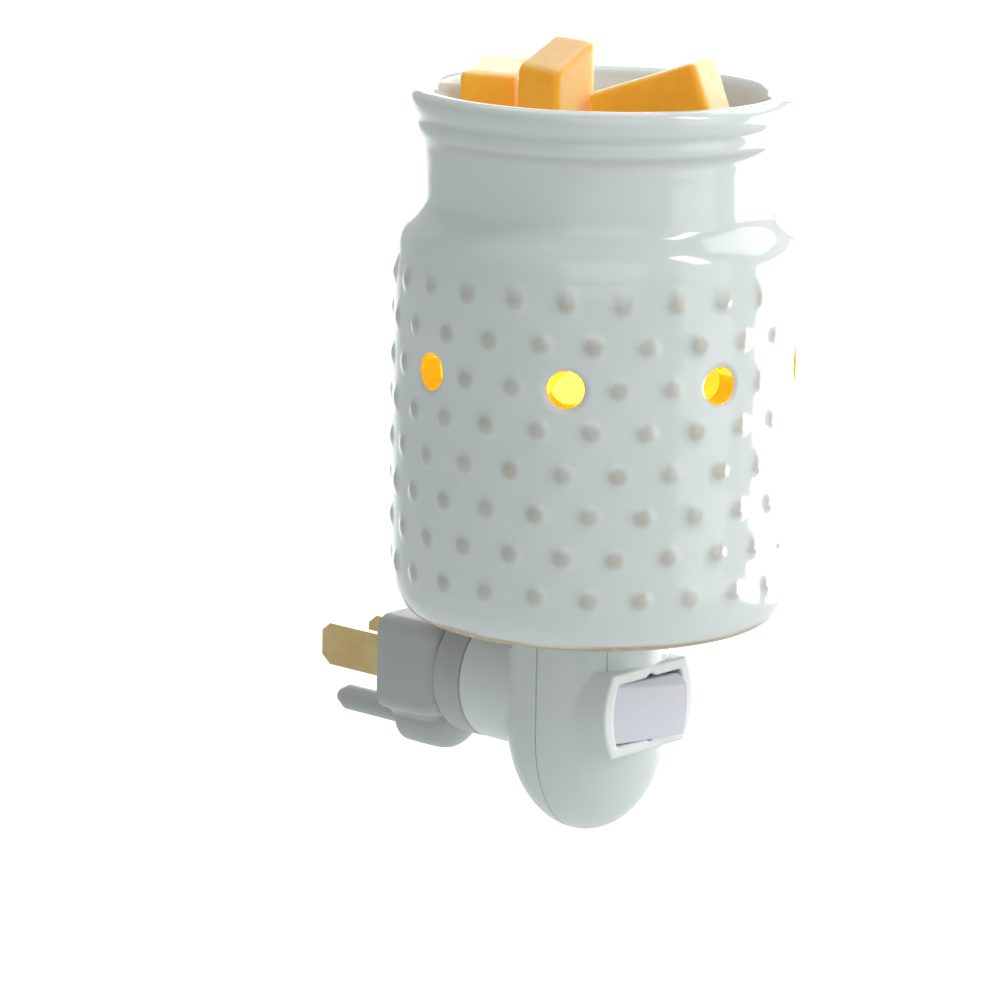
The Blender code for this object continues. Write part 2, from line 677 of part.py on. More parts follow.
def make_bulb():
    glass = turned("bulb_glass", bulb_envelope(0)[::-1] + bulb_envelope(0.6 * MM), "glass", 20, AXIS)
    outer, inner = [], []
    for i in range(8):
        radius = 6.0 * MM - (0.35 * MM if i % 2 else 0)
        outer.append((radius, 13.4 * MM + i * 1.2 * MM))
        inner.append((radius - 0.4 * MM, 13.4 * MM + i * 1.2 * MM))
    base = tube("bulb_screw_base", outer + inner[::-1], "brass", 20, AXIS)
    ring = tube("bulb_insulator", ((2.4 * MM, 12.3 * MM), (3.2 * MM, 12.1 * MM), (5.2 * MM, 13.9 * MM),
                                   (4.6 * MM, 14.6 * MM), (2.4 * MM, 13.6 * MM)), "black_plastic", 16, AXIS)
    tip = turned("bulb_tip_contact", ((0, 11.5 * MM), (1.4 * MM, 11.7 * MM), (2.05 * MM, 12.3 * MM),
                                      (2.05 * MM, 13.2 * MM), (0, 13.2 * MM)), "steel", 16, AXIS)
    stem = turned("bulb_stem", ((0, 17 * MM), (3.6 * MM, 17 * MM), (3.2 * MM, 22 * MM), (1.6 * MM, 25 * MM),
                                (2.6 * MM, 29 * MM), (0, 29 * MM)), "glass", 16, AXIS)
    left = bulb_support("filament_support_left", -1)
    right = bulb_support("filament_support_right", 1)
    filament = make_filament()
    joint_point("bulb_axis", tuple(AXIS), (glass, base, ring, tip, stem, left, right, filament))


def bulb_support(name, side):
    path = ((side * 1.6 * MM, 29.3 * MM), (side * 2.2 * MM, 34 * MM), (side * 4.6 * MM, 41 * MM))
    return strip(name, path, 0.35 * MM, 0.35 * MM, "steel", AXIS, (math.pi / 2, 0, 0))


def make_filament():
    """The filament, as one bowed rod between its supports."""
    path = [(x * MM, (41.6 + 1.6 * (1 - (x / 4.6) ** 2)) * MM) for x in (-4.6, -2.8, -1, 1, 2.8, 4.6)]
    return strip("filament", path, 0.4 * MM, 0.4 * MM, "steel", AXIS, (math.pi / 2, 0, 0))


# ---------------------------------------------------------------- jar

def dish_outline():
    """The upper part's section as (radius, height, bump row): dish, lip, neck and the chamber's roof."""
    dish = ((0, 94.0), (20.0, 94.0), (24.2, 94.7), (26.4, 96.8), (27.7, 104.0), (28.8, 108.2), (29.9, 109.4))
    lip = ((31.2, 109.6), (32.6, 108.9), (32.7, 107.4), (31.8, 104.8), (31.85, 102.9), (30.9, 100.4),
           (30.1, 95.5), (30.0, 89.8), (30.5, 88.2))
    shoulder = ((31.5, 86.9), (33.2, 85.0))
    roof = ((25.6, 88.0), (21.0, 90.0), (0, 90.4))
    edge = JAR_SPLIT + GAP / 2
    points = [(r * MM, z * MM, None) for r, z in dish + lip + shoulder]
    points += [(33.4 * MM, edge, None), (28.7 * MM, edge, None)]
    return points + [(r * MM, z * MM, None) for r, z in roof]


def body_outline():
    """The lower part's section, from the shoulder down the bumpy side, under the foot and up inside."""
    foot = ((34.6, 21.2), (33.4, 17.8), (30.8, 15.8), (29.0, 15.4), (27.2, 15.8), (26.8, 18.8))
    bottom = ((19.0, 18.8), (19.0, 22.4), (30.4, 22.4))
    inside = ((31.5, 24.6), (31.6, 79.0), (30.4, 82.8))
    edge = JAR_SPLIT - GAP / 2
    points = [(33.6 * MM, edge, None), (34.4 * MM, 83.0 * MM, None)]
    for i in range(2 * BUMP_ROWS + 1):
        height = BUMP_LOWEST + (BUMP_ROWS - 0.5 - i / 2) * BUMP_ROW_PITCH
        row = (i + 1) // 2 if i % 2 else None
        points.append((body_radius(height), height, row))
    points += [(r * MM, z * MM, None) for r, z in foot + bottom + inside]
    return points + [(29.0 * MM, edge, None)]


def body_radius(height):
    """The jar's side is slightly barrelled."""
    middle = (JAR_RIM + JAR_FOOT) / 2 - 8 * MM
    return JAR_R - 0.35 * MM * ((height - middle) / (28 * MM)) ** 2


def jar_ring(radius, height, row):
    if radius == 0:
        return [(0, 0, height)]
    ring = []
    for j in range(JAR_STEPS):
        proud = BUMP_PROUD if has_bump(row, j) else 0
        angle = BUMP_PHASE + 2 * math.pi * j / JAR_STEPS
        ring.append(((radius + proud) * math.sin(angle), -(radius + proud) * math.cos(angle), height))
    return ring


def has_bump(row, column):
    """Odd rows bump on even columns and even rows on odd ones. The holes take every third in their row."""
    if row is None or (row + column) % 2 == 0:
        return False
    return not (row == HOLE_ROW and column % 6 == 0)


def make_jar():
    """One casting. Its hollow body and its dish are two solids, which meet at the shoulder."""
    dish = loft("jar_dish", [jar_ring(*step) for step in dish_outline()], "glaze", AXIS)
    jar = closed_loft("jar_body", [jar_ring(*step) for step in body_outline()], "glaze", AXIS)
    height = BUMP_LOWEST + (BUMP_ROWS - HOLE_ROW) * BUMP_ROW_PITCH
    for i in range(HOLE_PAIRS):
        spin = BUMP_PHASE + math.pi * i / HOLE_PAIRS
        place = (0, AXIS_Y, height)
        turn = (math.pi / 2, 0, spin)
        cut(jar, rod(f"light_hole_pair_{i + 1}", HOLE_R, -50 * MM, 50 * MM, None, 16, place, turn))
    joint_point("jar_lift_point", (0, AXIS_Y, JAR_FOOT), (jar, dish))


# ---------------------------------------------------------------- wax

def make_wax(name, size, centre, tilt, spin):
    """One piece of wax melt: a block with softened edges."""
    half = [side / 2 for side in size]
    block = box(name, [-h for h in half], half, "wax")
    block.rotation_euler = (0, tilt, spin)
    soft = block.modifiers.new("soft edges", "BEVEL")
    soft.width = 1.3 * MM
    soft.segments = 3
    lift = joint_point(f"{name}_lift", centre, ())
    block.parent = lift
    return block


def make_waxes():
    """Three pieces in the dish: one lying by the wall, one on end, and one tipped up against the rim."""
    left = (-7.9 * MM, AXIS_Y + 17.3 * MM, 105.1 * MM)
    make_wax("wax_left", (10.5 * MM, 16 * MM, 17 * MM), left, 0, math.radians(-62.8))
    middle = (-9.0 * MM, AXIS_Y + 2.9 * MM, 106.8 * MM)
    make_wax("wax_middle", (10.3 * MM, 10.3 * MM, 25.0 * MM), middle, 0, math.radians(-4.8))
    right = (0.2 * MM, AXIS_Y - 13.9 * MM, 105.9 * MM)
    make_wax("wax_right", (21.5 * MM, 11 * MM, 15.4 * MM), right, math.radians(-20), math.radians(-71.8))


def main():
    clear_scene()
    make_plug()
    make_lamp_base()
    make_switch()
    make_bulb()
    make_jar()
    make_waxes()


main()
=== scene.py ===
"""Looks for the plug-in wax warmer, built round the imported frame.

Metres, +Z up. The jar, the lamp base and the bulb share one upright axis. The plug's axis lies
along Y through the origin. Outlines are written in millimetres and scaled by MM.
"""
import math

import bmesh
import bpy
import numpy as np
from mathutils import Matrix, Vector, noise


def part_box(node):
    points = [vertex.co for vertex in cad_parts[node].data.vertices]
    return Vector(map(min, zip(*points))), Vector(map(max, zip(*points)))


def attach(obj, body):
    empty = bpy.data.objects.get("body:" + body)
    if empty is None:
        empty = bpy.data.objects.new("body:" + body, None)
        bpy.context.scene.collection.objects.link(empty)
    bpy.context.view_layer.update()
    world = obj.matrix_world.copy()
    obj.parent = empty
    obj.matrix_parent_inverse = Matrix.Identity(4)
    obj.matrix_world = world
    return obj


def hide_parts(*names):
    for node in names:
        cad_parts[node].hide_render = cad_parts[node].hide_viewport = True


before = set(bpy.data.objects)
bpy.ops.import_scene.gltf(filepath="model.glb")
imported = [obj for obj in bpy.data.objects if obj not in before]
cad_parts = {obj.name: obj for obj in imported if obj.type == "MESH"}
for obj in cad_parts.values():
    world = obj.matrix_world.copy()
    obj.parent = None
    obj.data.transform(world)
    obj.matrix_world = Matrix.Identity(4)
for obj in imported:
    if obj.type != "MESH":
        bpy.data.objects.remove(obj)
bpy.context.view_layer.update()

MM = 0.001
TAU = 2 * math.pi


def centre_of(node):
    low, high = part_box(node)
    return (Vector(low) + Vector(high)) / 2


JAR_LOW, JAR_HIGH = (Vector(corner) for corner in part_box("jar_dish"))
AXIS = Vector(((JAR_LOW.x + JAR_HIGH.x) / 2, (JAR_LOW.y + JAR_HIGH.y) / 2, 0))
FOOT_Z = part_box("jar_body")[0][2]
HOUSING_LOW, HOUSING_HIGH = (Vector(corner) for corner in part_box("housing_front"))

# Hobnail pattern on the jar
BUMP_ROWS = 8
BUMP_PITCH = 7.37
BUMP_LOWEST = 10.2
BUMPS_ROUND = 24
BUMP_PHASE = math.radians(-12.9)
BUMP_HEIGHT = 0.5
BUMP_CORE = 1.55
HOLE_ROW = 3
HOLE_EVERY = 3
HOLE_RADIUS = 3.18

# Jar, in millimetres: heights over the foot, and radii
PATTERN_TOP = 64.5
PATTERN_FOOT = 7.1
SIDE_RADIUS = 35.2       # turns an angle on the side into a length
WIPED_HEIGHT = 6.95
WIPED_RADIUS = 34.4

# Lamp base and switch
FRONT_RADIUS = 14.35 * MM
REAR_RADIUS = 14.4 * MM
INNER_RADIUS = 12.6 * MM
FLOOR_THICKNESS = 1.8 * MM
HALF_PARTING_GAP = 0.06 * MM
BOSS_FRONT = -56.25 * MM
WINDOW_HALF_H = 5.65 * MM
ROCKER_PIVOT = (0, -53.6 * MM, -0.2 * MM)
ROCKER_SET = math.radians(-11)
ROCKER_ASKEW = math.radians(1.2)

# Stage and lights: places and sizes in metres
POOL_DISTANCE = 8.2
POOL_SIZE = (3.2, 6.4, 6.0)
LIGHT_TARGET = (0, -0.042, 0.045)
DAYLIGHT = (1.0, 0.99, 0.97)

# Camera
CAMERA_AZIMUTH = -49.818
CAMERA_ELEVATION = 12.061
CAMERA_DISTANCE = 0.8264
CAMERA_ROLL = 1.119
FOCAL_PER_WIDTH = 4.638
AIM_RIGHT = -16.57 * MM
AIM_UP = -6.56 * MM


# ---------------------------------------------------------------- node materials

class Shader:
    """A small helper round one node material."""

    def __init__(self, name):
        self.material = bpy.data.materials.new(name)
        self.material.use_nodes = True
        self.tree = self.material.node_tree
        self.main = self.tree.nodes["Principled BSDF"]

    def node(self, kind, **settings):
        made = self.tree.nodes.new(kind)
        for key, value in settings.items():
            setattr(made, key, value)
        return made

    def link(self, source, target):
        self.tree.links.new(source, target)

    def set(self, **values):
        for name, value in values.items():
            self.main.inputs[name.replace("_", " ")].default_value = value

    def position(self):
        return self.node("ShaderNodeTexCoord").outputs["Object"]

    def noise(self, scale, detail=4.0, rough=0.55, stretch=None):
        made = self.node("ShaderNodeTexNoise")
        made.inputs["Scale"].default_value = scale
        made.inputs["Detail"].default_value = detail
        made.inputs["Roughness"].default_value = rough
        place = self.position()
        if stretch:
            mapping = self.node("ShaderNodeMapping")
            mapping.inputs["Scale"].default_value = stretch
            self.link(place, mapping.inputs["Vector"])
            place = mapping.outputs["Vector"]
        self.link(place, made.inputs["Vector"])
        return made.outputs["Fac"]

    def ramp(self, source, stops):
        made = self.node("ShaderNodeValToRGB")
        band = made.color_ramp
        while len(band.elements) < len(stops):
            band.elements.new(0.5)
        for element, (place, colour) in zip(band.elements, stops):
            element.position = place
            element.color = (*colour, 1) if len(colour) == 3 else colour
        self.link(source, made.inputs["Fac"])
        return made.outputs["Color"]

    def value(self, source, low, high, start=0.0, end=1.0):
        made = self.node("ShaderNodeMapRange")
        limits = (("From Min", start), ("From Max", end), ("To Min", low), ("To Max", high))
        for name, number in limits:
            made.inputs[name].default_value = number
        self.link(source, made.inputs["Value"])
        return made.outputs["Result"]

    def mix(self, factor, a, b):
        made = self.node("ShaderNodeMix", data_type="RGBA", blend_type="MIX")
        for name, value in (("Factor", factor), ("A", a), ("B", b)):
            self.feed(made.inputs[name], value)
        return made.outputs["Result"]

    def feed(self, socket, value):
        if isinstance(value, bpy.types.NodeSocket):
            self.link(value, socket)
        elif isinstance(value, tuple):
            socket.default_value = (*value, 1)
        else:
            socket.default_value = value

    def attribute(self, name):
        return self.node("ShaderNodeAttribute", attribute_name=name).outputs["Fac"]

    def colour(self, socket):
        self.link(socket, self.main.inputs["Base Color"])

    def roughness(self, socket):
        self.link(socket, self.main.inputs["Roughness"])

    def bump(self, source, distance, strength=1.0):
        made = self.node("ShaderNodeBump")
        made.inputs["Distance"].default_value = distance
        made.inputs["Strength"].default_value = strength
        self.link(source, made.inputs["Height"])
        self.link(made.outputs["Normal"], self.main.inputs["Normal"])


def mat_glaze():
    """Glossy pale glaze, pooled in the hollows and broken to buff on bumps, rims and edges. The
    buff lines in the groove under the lip and below the bead are partly glaze break and partly
    painted shade.
    """
    s = Shader("glazed_ceramic")
    drift = s.noise(28, 3.0)
    fine = s.noise(900, 3.0)
    pooled = s.ramp(drift, ((0.3, (0.71, 0.765, 0.73)), (0.55, (0.74, 0.79, 0.76)),
                            (0.75, (0.77, 0.81, 0.775))))
    # buff where the glaze breaks on bumps, rims and edges, and painted shade in the groove under
    # the lip and below the bead
    worn_and_shaded = s.mix(s.attribute("thin_glaze_and_shade"), pooled, (0.54, 0.52, 0.455))
    clay = s.ramp(fine, ((0.3, (0.42, 0.32, 0.17)), (0.7, (0.54, 0.43, 0.26))))
    bare = s.mix(s.attribute("bare"), worn_and_shaded, clay)
    # painted glow: the walls of the light holes are painted orange and give off light, standing in
    # for the lamp shining through the ceramic
    glow = s.attribute("glow")
    s.colour(s.mix(glow, bare, (0.80, 0.46, 0.02)))
    s.link(s.ramp(fine, ((0.3, (1.0, 0.50, 0.012)), (0.7, (1.0, 0.54, 0.02)))),
           s.main.inputs["Emission Color"])
    s.link(s.value(glow, 0.0, 0.35), s.main.inputs["Emission Strength"])
    s.roughness(s.value(s.attribute("bare"), 0.13, 0.8))
    s.set(IOR=1.5, Coat_Weight=0.55, Coat_Roughness=0.05, Subsurface_Weight=0.06,
          Subsurface_Scale=0.002)
    s.main.inputs["Subsurface Radius"].default_value = (1.0, 0.8, 0.6)
    s.bump(s.noise(120, 3.0, 0.5), 0.0004, 0.12)
    return s.material


def mat_plastic(name, low, high, rough, coat=0.0):
    """Moulded plastic: a faint drift of tone, a slight ripple and uneven gloss."""
    s = Shader(name)
    drift = s.noise(60, 3.0)
    s.colour(s.ramp(drift, ((0.3, low), (0.7, high))))
    s.roughness(s.value(s.noise(80, 2.0), rough[0], rough[1]))
    s.set(IOR=1.49, Coat_Weight=coat, Coat_Roughness=0.12)
    s.bump(s.noise(350, 2.0), 0.00001, 0.5)
    return s.material


def mat_metal(name, low, high):
    """Stamped or plated metal with fine drawn marks and a little dulling."""
    s = Shader(name)
    lines = s.noise(500, 5.0, 0.6, (1, 1, 30))
    s.colour(s.ramp(s.noise(150, 4.0), ((0.3, low), (0.7, high))))
    s.roughness(s.value(lines, 0.18, 0.36, 0.3, 0.7))
    s.set(Metallic=1.0)
    s.bump(lines, 0.00002, 0.4)
    return s.material


def mat_wax():
    """Translucent orange wax with a cloudy surface and small pits. Its top and right-facing faces
    are painted paler as painted light, and all of it gives off a faint painted glow.
    """
    s = Shader("wax_melt")
    cloud = s.noise(110, 5.0)
    body = s.ramp(cloud, ((0.25, (0.92, 0.39, 0.012)), (0.55, (0.96, 0.45, 0.018)),
                          (0.8, (0.98, 0.54, 0.05))))
    # painted light: the top and right-facing faces, marked by the pale attribute, are painted a
    # paler orange
    wax_with_painted_light = s.mix(s.attribute("pale"), body, (1.0, 0.80, 0.50))
    s.colour(wax_with_painted_light)
    # painted glow: the wax gives off a little light in its own colour
    s.link(wax_with_painted_light, s.main.inputs["Emission Color"])
    s.roughness(s.value(s.noise(420, 4.0), 0.24, 0.46, 0.3, 0.7))
    s.set(IOR=1.44, Subsurface_Weight=0.7, Subsurface_Scale=0.004, Coat_Weight=0.15,
          Coat_Roughness=0.2, Emission_Strength=0.13)
    s.main.inputs["Subsurface Radius"].default_value = (1.0, 0.6, 0.2)
    s.bump(s.noise(330, 4.0, 0.6), 0.00025, 0.35)
    return s.material


def mat_bulb_glass():
    """Frosted glass lit from inside."""
    s = Shader("lit_bulb_glass")
    cloud = s.noise(140, 3.0)
    s.colour(s.ramp(cloud, ((0.3, (1.0, 0.78, 0.40)), (0.7, (1.0, 0.84, 0.52)))))
    s.roughness(s.value(cloud, 0.25, 0.4, 0.3, 0.7))
    s.link(s.ramp(cloud, ((0.3, (1.0, 0.42, 0.022)), (0.7, (1.0, 0.45, 0.028)))),
           s.main.inputs["Emission Color"])
    s.set(Emission_Strength=7.5, IOR=1.5)
    return s.material


def mat_filament():
    s = Shader("filament_coil")
    coil = s.node("ShaderNodeTexWave", wave_type="BANDS", bands_direction="X")
    coil.inputs["Scale"].default_value = 900
    s.link(s.position(), coil.inputs["Vector"])
    s.link(s.ramp(coil.outputs["Fac"], ((0.2, (1.0, 0.45, 0.08)), (0.8, (1.0, 0.85, 0.5)))),
           s.main.inputs["Emission Color"])
    s.set(Emission_Strength=12.0, Metallic=1.0, Roughness=0.5)
    s.colour(s.ramp(coil.outputs["Fac"], ((0.2, (0.5, 0.3, 0.15)), (0.8, (0.9, 0.7, 0.4)))))
    return s.material


def mat_floor():
    s = Shader("pale_floor")
    pale = s.ramp(s.noise(6, 2.0), ((0.3, (0.87, 0.88, 0.89)), (0.7, (0.89, 0.90, 0.90))))
    s.colour(pale)
    s.link(pale, s.main.inputs["Emission Color"])
    # painted light pool: the backdrop gives off bright light in a pool far behind the object, where
    # the camera looks, and only a dim glow elsewhere
    azimuth = math.radians(CAMERA_AZIMUTH)
    pool = s.node("ShaderNodeMapping", vector_type="TEXTURE")
    pool.inputs["Location"].default_value = (
        -POOL_DISTANCE * math.sin(azimuth), POOL_DISTANCE * math.cos(azimuth), 0)
    pool.inputs["Rotation"].default_value = (0, 0, azimuth)
    pool.inputs["Scale"].default_value = POOL_SIZE
    s.link(s.position(), pool.inputs["Vector"])
    away = s.node("ShaderNodeVectorMath", operation="LENGTH")
    s.link(pool.outputs["Vector"], away.inputs[0])
    s.link(s.value(away.outputs["Value"], 0.95, 0.16, 0.8, 1.2), s.main.inputs["Emission Strength"])
    s.set(Roughness=0.8)
    return s.material


MATERIALS = {
    "glaze": mat_glaze(),
    "white": mat_plastic("white_plastic", (0.70, 0.75, 0.73), (0.72, 0.77, 0.75), (0.26, 0.32),
                         coat=0.2),
    # painted shade: the plug, its collar and rear cover are the same cool white plastic as the
    # rocker, darkened as painted shade
    "shaded_cool_white": mat_plastic("cool_white_plastic_in_painted_shade", (0.45, 0.475, 0.47), (0.49, 0.51, 0.505),
                        (0.34, 0.46)),
    "rocker": mat_plastic("rocker_plastic", (0.70, 0.71, 0.76), (0.73, 0.74, 0.79), (0.26, 0.36)),
    "black": mat_plastic("black_plastic", (0.02, 0.02, 0.02), (0.04, 0.04, 0.045), (0.35, 0.55)),
    "holder": mat_plastic("holder_plastic", (0.55, 0.52, 0.46), (0.62, 0.59, 0.52), (0.45, 0.6)),
    "wire": mat_plastic("wire_sleeve", (0.72, 0.70, 0.64), (0.80, 0.78, 0.72), (0.45, 0.6)),
    "brass": mat_metal("brass", (0.74, 0.52, 0.22), (0.86, 0.66, 0.32)),
    "steel": mat_metal("steel", (0.50, 0.50, 0.49), (0.66, 0.66, 0.65)),
    "wax": mat_wax(),
    "bulb": mat_bulb_glass(),
    "filament": mat_filament(),
    "floor": mat_floor(),
}


# ---------------------------------------------------------------- mesh helpers

def new_piece(name, verts, faces, material, smooth_angle=None):
    mesh = bpy.data.meshes.new(name)
    mesh.from_pydata([tuple(v) for v in verts], [], faces)
    mesh.update()
    shape = bmesh.new()
    shape.from_mesh(mesh)
    bmesh.ops.recalc_face_normals(shape, faces=shape.faces)
    shape.to_mesh(mesh)
    shape.free()
    thing = bpy.data.objects.new(name, mesh)
    bpy.context.collection.objects.link(thing)
    finish_piece(thing, material, smooth_angle)
    return thing


def finish_piece(thing, material, smooth_angle=None):
    thing.data.materials.clear()
    thing.data.materials.append(MATERIALS[material])
    thing.data.shade_smooth()
    if smooth_angle:
        thing.data.set_sharp_from_angle(angle=math.radians(smooth_angle))


def ring_faces(counts, closed=False):
    """Faces that skin rings of points. counts lists each ring's length, 1 for a pole."""
    faces = []
    starts = np.concatenate(([0], np.cumsum(counts)))[:-1]
    pairs = list(zip(range(len(counts) - 1), range(1, len(counts))))
    if closed:
        pairs.append((len(counts) - 1, 0))
    for low, high in pairs:
        a, b = int(starts[low]), int(starts[high])
        n = max(counts[low], counts[high])
        for i in range(n):
            j = (i + 1) % n
            if counts[low] == 1:
                faces.append((a, b + i, b + j))
            elif counts[high] == 1:
                faces.append((a + i, a + j, b))
            else:
                faces.append((a + i, a + j, b + j, b + i))
    return faces


def skin(name, rings, material, closed=False, smooth_angle=None):
    """A piece from rings of points. Open ends of more than one point are capped."""
    counts = [len(ring) for ring in rings]
    verts = [point for ring in rings for point in ring]
    faces = ring_faces(counts, closed)
    if not closed:
        if counts[0] > 1:
            faces.append(tuple(range(counts[0])))
        if counts[-1] > 1:
            faces.append(tuple(range(len(verts) - counts[-1], len(verts))))
    return new_piece(name, verts, faces, material, smooth_angle)


def turned(name, outline, material, steps=96, centre=(0, 0, 0), along="Z", closed=False,
           smooth_angle=30):
    """Turns (radius, height) pairs in metres about an axis through centre, along Z or Y."""
    rings = []
    for radius, height in outline:
        if radius < 1e-7:
            points = [(0.0, 0.0, height)]
        else:
            points = [(radius * math.cos(TAU * i / steps), radius * math.sin(TAU * i / steps),
                       height) for i in range(steps)]
        if along == "Y":
            points = [(x, z, -y) for x, y, z in points]
        rings.append([(x + centre[0], y + centre[1], z + centre[2]) for x, y, z in points])
    return skin(name, rings, material, closed, smooth_angle)


def rod_outline(radius, start, end):
    """The section of a plain rod with flat ends."""
    return [(0, start), (radius, start), (radius, end), (0, end)]


def rounded(points, radius, steps=4):
    """An outline with each inner corner rounded by that radius. The ends stay."""
    found = [points[0]]
    for before, corner, after in zip(points, points[1:], points[2:]):
        a, b, c = (Vector(p).to_2d() for p in (before, corner, after))
        cut = min(radius, (a - b).length * 0.45, (c - b).length * 0.45)
        start = b + (a - b).normalized() * cut
        end = b + (c - b).normalized() * cut
        for i in range(steps + 1):
            t = i / steps
            found.append(tuple((1 - t) ** 2 * start + 2 * t * (1 - t) * b + t * t * end))
    found.append(points[-1])
    return found


def curve_through(points, spacing):
    """Evenly spaced points on a smooth curve through the given ones."""
    p = [Vector(point) for point in points]
    p = [2 * p[0] - p[1]] + p + [2 * p[-1] - p[-2]]
    found = []
    for a, b, c, d in zip(p, p[1:], p[2:], p[3:]):
        steps = max(1, round((c - b).length / spacing))
        for i in range(steps):
            t = i / steps
            found.append(0.5 * (2 * b + (c - a) * t + (2 * a - 5 * b + 4 * c - d) * t * t
                                + (3 * b - a - 3 * c + d) * t ** 3))
    found.append(p[-2])
    return [tuple(point) for point in found]


def settle(thing):
    """Replaces a piece's mesh by what its modifiers make of it."""
    graph = bpy.context.evaluated_depsgraph_get()
    graph.update()
    made = bpy.data.meshes.new_from_object(thing.evaluated_get(graph), depsgraph=graph)
    thing.modifiers.clear()
    thing.data = made
    return thing


def combine(thing, tool, operation):
    change = thing.modifiers.new("cut", "BOOLEAN")
    change.operation = operation
    change.object = tool
    change.solver = "MANIFOLD"
    settle(thing)
    bpy.data.objects.remove(tool, do_unlink=True)
    return thing


def soften(thing, voxel, rounds, material):
    """Rounds every edge of a solid a little: a fine remesh, then a few smoothing rounds."""
    remesh = thing.modifiers.new("remesh", "REMESH")
    remesh.mode = "VOXEL"
    remesh.voxel_size = voxel * 1
    smooth = thing.modifiers.new("smooth", "SMOOTH")
    smooth.factor = 0.5
    smooth.iterations = rounds
    settle(thing)
    finish_piece(thing, material)
    return thing


def block(name, low, high):
    corners = ((low[0], low[1]), (high[0], low[1]), (high[0], high[1]), (low[0], high[1]))
    return skin(name, [[(x, y, z) for x, y in corners] for z in (low[2], high[2])], "white")


def place(piece, body, slot, *nodes):
    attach(piece, body)
    if nodes:
        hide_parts(*nodes)
    return piece


# ---------------------------------------------------------------- jar

def jar_outline():
    """The jar's section in millimetres: (radius, height over the foot)."""
    bowl = [(0, 78.6), (12.0, 78.6), (20.0, 78.65), (23.4, 79.2), (25.9, 80.9), (27.0, 83.8),
            (27.7, 87.5), (28.5, 90.8), (29.4, 92.9)]
    lip = [(30.3, 93.85), (31.5, 94.2), (32.6, 93.8), (33.3, 92.8), (33.25, 91.5), (32.8, 90.3),
           (32.35, 89.5), (32.15, 88.9)]
    bead = [(32.22, 88.2), (32.28, 87.4), (32.1, 86.6), (31.65, 85.9), (31.25, 85.2)]
    neck = [(31.0, 84.3), (30.9, 83.0), (30.65, 80.5), (30.55, 77.5), (30.5, 75.0), (30.65, 73.6)]
    shoulder = [(31.25, 72.4), (32.4, 71.2), (33.6, 70.0), (34.5, 68.7), (35.05, 67.0),
                (35.3, PATTERN_TOP)]
    side = [(35.85 - 0.35 * ((h - 39) / 28) ** 2, h) for h in np.linspace(62, 8.5, 108)]
    foot = [(35.3, 7.0), (35.0, 5.3), (34.45, 3.7), (33.5, 2.0), (32.3, 0.85), (31.0, 0.3),
            (29.9, 0.05), (28.8, 0.05), (27.7, 0.4), (27.1, 1.2), (26.8, 2.4)]
    under = [(26.5, 3.2), (25.6, 3.4), (20.0, 3.4), (19.3, 3.5), (19.0, 4.0), (19.0, 6.4),
             (19.3, 6.9), (20, 7.0)]
    corner = [(29.8, 7.0), (31.2, 8.0), (31.5, 10.0)]
    inside = [(31.6, 30), (31.5, 62.5), (30.8, 66.6), (28.8, 69.8), (25.6, 72.4), (20.5, 74.4),
              (12, 74.9), (0, 75.0)]
    outside = curve_through(bowl + lip + bead + neck + shoulder, 0.7) + side
    return outside + curve_through(foot, 0.7) + under + curve_through(corner, 1.0) + inside


def bump_centres():
    """(angle, height) of each bump, then of each light hole."""
    rng = np.random.default_rng(7)
    bumps, holes = [], []
    for row in range(1, BUMP_ROWS + 1):
        height = BUMP_LOWEST + (BUMP_ROWS - row) * BUMP_PITCH
        for i in range(BUMPS_ROUND):
            angle = BUMP_PHASE + TAU * (i + (0 if row % 2 else 0.5)) / BUMPS_ROUND
            if row == HOLE_ROW and i % HOLE_EVERY == 0:
                holes.append((angle, height))
                continue
            bumps.append((angle + rng.normal(0, 0.005), height + rng.normal(0, 0.12)))
    return bumps, holes


def wrapped(angle):
    return (angle + math.pi) % TAU - math.pi


def make_jar():
    """One turned skin for the whole casting, with bumps pushed out of its side and eight holes."""
    steps = 480
    outline = jar_outline()
    first = next(i for i, (r, h) in enumerate(outline) if h <= PATTERN_TOP and r > 34)
    last = next(i for i, (r, h) in enumerate(outline) if h < PATTERN_FOOT and i > first)
    angles = TAU * np.arange(steps) / steps
    bumps, holes = bump_centres()
    rings, thin_glaze_and_shade, bare = [], [], []
    for i, (radius, height) in enumerate(outline):
        if radius == 0:
            rings.append([(AXIS.x, AXIS.y, FOOT_Z + height * MM)])
            thin_glaze_and_shade.append(np.zeros(1))
            bare.append(np.zeros(1))
            continue
        reach = np.zeros(steps)
        mark = np.zeros(steps)
        if first <= i <= last:
            reach, mark = pattern_at(angles, height, bumps, holes)
        radii = (radius + reach) * MM
        wobble = 1 + 0.0012 * np.sin(2 * angles + 0.6) + 0.0008 * np.sin(3 * angles + height / 30)
        xs = AXIS.x + radii * wobble * np.sin(angles)
        ys = AXIS.y - radii * wobble * np.cos(angles)
        rings.append([(x, y, FOOT_Z + height * MM) for x, y in zip(xs, ys)])
        # glaze break on bumps and hole rims, plus painted shade lines in the groove under the lip
        # and below the bead
        thin_glaze_and_shade.append(np.maximum(mark, edge_wear_and_groove_shade(radius, height)))
        bare.append(unglazed(radius, height, angles))
    jar = skin("jar_ceramic", rings, "glaze")
    paint(jar, "thin_glaze_and_shade", np.concatenate(thin_glaze_and_shade))
    paint(jar, "bare", np.concatenate(bare))
    for i in range(len(holes) // 2):
        angle, height = holes[i]
        combine(jar, hole_cutter(angle, height), "DIFFERENCE")
    paint(jar, "glow", [hole_glow(vertex.co, holes) for vertex in jar.data.vertices])
    finish_piece(jar, "glaze", 50)
    return place(jar, "jar", "jar_glaze", "jar_body", "jar_dish")


